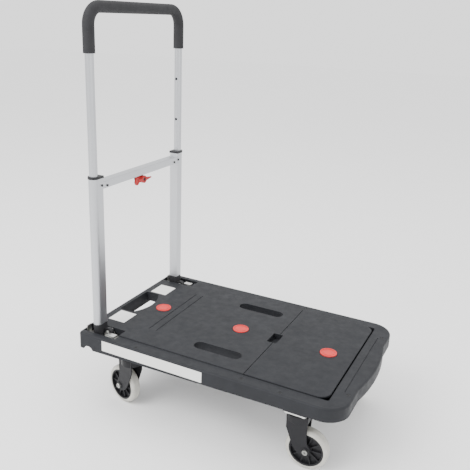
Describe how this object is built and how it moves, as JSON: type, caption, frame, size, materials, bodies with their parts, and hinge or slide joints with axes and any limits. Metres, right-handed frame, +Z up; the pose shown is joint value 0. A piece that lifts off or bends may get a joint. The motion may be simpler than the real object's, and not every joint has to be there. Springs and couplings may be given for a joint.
{
  "type": "platform trolley",
  "caption": "Folding platform trolley with a plastic deck, red anti-slip pads, a telescopic tubular push handle and swivel casters.",
  "frame": {"origin": "on the floor, under the middle of the whole trolley", "axes": "+X forward from the handle towards the front lip, +Y left, +Z up"},
  "size_m": [0.714, 0.452, 1.0098],
  "materials": {
    "deck_plastic": "fine textured moulded plastic",
    "lid_plastic": "fine textured moulded plastic",
    "red_plastic": "semi-gloss",
    "red_pad": "satin soft rubber",
    "aluminium": "silver anodised, fine drawn lines",
    "grip_rubber": "matt ribless grip",
    "black_plastic": "satin moulded",
    "steel": "zinc plated",
    "dark_steel": "blackened",
    "fork_plastic": "glass-filled, satin",
    "wheel_plastic": "satin moulded",
    "tread": "soft grey rubber",
    "label_white": "blank sticker"
  },
  "bodies": {
    "deck": {"deck_moulding": "deck_plastic", "underframe": "deck_plastic", "deck_sleeves": "deck_plastic", "pocket_trays": "deck_plastic", "well_tray": "deck_plastic", "rim_screws": "dark_steel", "deck_labels": "label_white", "side_label": "label_white", "pad_rear": "red_pad", "pad_middle": "red_pad", "lid_hinge_pins": "steel", "bracket_screws": "steel", "hinge_pins": "steel", "hinge_bracket_left": "steel", "hinge_bracket_right": "steel", "plate_bolts": "steel", "caster_plate_rear_right": "steel", "caster_plate_rear_left": "steel", "caster_plate_front_right": "steel", "caster_plate_front_left": "steel"},
    "lid": {"front_lid": "lid_plastic", "pad_front": "red_pad"},
    "handle_frame": {"lower_profile_left": "aluminium", "lower_profile_right": "aluminium", "base_block_left": "black_plastic", "base_block_right": "black_plastic", "collar_left": "black_plastic", "collar_right": "black_plastic", "connector_left": "black_plastic", "connector_right": "black_plastic", "crossbar": "aluminium", "crossbar_screws": "dark_steel", "lever_lug": "black_plastic"},
    "bow": {"bow_tube": "aluminium", "grip": "grip_rubber", "leg_bush_left": "black_plastic", "leg_bush_right": "black_plastic"},
    "lever": {"release_lever": "red_plastic"},
    "lock_pin_left": {"lock_pin_left": "steel"},
    "lock_pin_right": {"lock_pin_right": "steel"},
    "swivel_rear_right": {"fork_rear_right": "fork_plastic", "axle_rear_right": "steel", "axle_nut_rear_right": "steel"},
    "wheel_rear_right": {"wheel_core_rear_right": "wheel_plastic", "tyre_rear_right": "tread"},
    "swivel_rear_left": {"fork_rear_left": "fork_plastic", "axle_rear_left": "steel", "axle_nut_rear_left": "steel"},
    "wheel_rear_left": {"wheel_core_rear_left": "wheel_plastic", "tyre_rear_left": "tread"},
    "swivel_front_right": {"fork_front_right": "fork_plastic", "axle_front_right": "steel", "axle_nut_front_right": "steel"},
    "wheel_front_right": {"wheel_core_front_right": "wheel_plastic", "tyre_front_right": "tread"},
    "swivel_front_left": {"fork_front_left": "fork_plastic", "axle_front_left": "steel", "axle_nut_front_left": "steel"},
    "wheel_front_left": {"wheel_core_front_left": "wheel_plastic", "tyre_front_left": "tread"}
  },
  "joints": [
    {"name": "handle_fold", "type": "hinge", "parent": "deck", "child": "handle_frame", "pos_m": [-0.295, 0, 0.2015], "axis": [0, 1, 0], "range_deg": [0, 90]},
    {"name": "bow_slide", "type": "slide", "parent": "handle_frame", "child": "bow", "axis": [0, 0, 1], "range_m": [-0.28, 0]},
    {"name": "lever_turn", "type": "hinge", "parent": "handle_frame", "child": "lever", "pos_m": [-0.3185, 0, 0.568], "axis": [1, 0, 0], "range_deg": [0, 40]},
    {"name": "lock_pin_left_slide", "type": "slide", "parent": "handle_frame", "child": "lock_pin_left", "axis": [0, 1, 0], "range_m": [0, 0.0065]},
    {"name": "lock_pin_right_slide", "type": "slide", "parent": "handle_frame", "child": "lock_pin_right", "axis": [0, -1, 0], "range_m": [0, 0.0065]},
    {"name": "lid_open", "type": "hinge", "parent": "deck", "child": "lid", "pos_m": [0.288, 0, 0.198], "axis": [0, -1, 0], "range_deg": [-95, 0]},
    {"name": "swivel_rear_right_turn", "type": "hinge", "parent": "deck", "child": "swivel_rear_right", "pos_m": [-0.2345, -0.166, 0.13], "axis": [0, 0, 1], "continuous": true},
    {"name": "swivel_rear_left_turn", "type": "hinge", "parent": "deck", "child": "swivel_rear_left", "pos_m": [-0.2345, 0.166, 0.13], "axis": [0, 0, 1], "continuous": true},
    {"name": "swivel_front_right_turn", "type": "hinge", "parent": "deck", "child": "swivel_front_right", "pos_m": [0.2265, -0.166, 0.13], "axis": [0, 0, 1], "continuous": true},
    {"name": "swivel_front_left_turn", "type": "hinge", "parent": "deck", "child": "swivel_front_left", "pos_m": [0.2265, 0.166, 0.13], "axis": [0, 0, 1], "continuous": true},
    {"name": "wheel_rear_right_roll", "type": "hinge", "parent": "swivel_rear_right", "child": "wheel_rear_right", "pos_m": [-0.26147, -0.15847, 0.051], "axis": [-0.2689, -0.9632, 0], "continuous": true},
    {"name": "wheel_rear_left_roll", "type": "hinge", "parent": "swivel_rear_left", "child": "wheel_rear_left", "pos_m": [-0.26216, 0.17038, 0.051], "axis": [-0.1564, -0.9877, 0], "continuous": true},
    {"name": "wheel_front_right_roll", "type": "hinge", "parent": "swivel_front_right", "child": "wheel_front_right", "pos_m": [0.25445, -0.16434, 0.051], "axis": [-0.0593, 0.9982, 0], "continuous": true},
    {"name": "wheel_front_left_roll", "type": "hinge", "parent": "swivel_front_left", "child": "wheel_front_left", "pos_m": [0.25399, 0.17134, 0.051], "axis": [-0.1908, 0.9816, 0], "continuous": true}
  ],
  "couplings": [
    {"joint": "lock_pin_left_slide", "follows": "lever_turn", "m_per_rad": 0.0093},
    {"joint": "lock_pin_right_slide", "follows": "lever_turn", "m_per_rad": 0.0093}
  ]
}
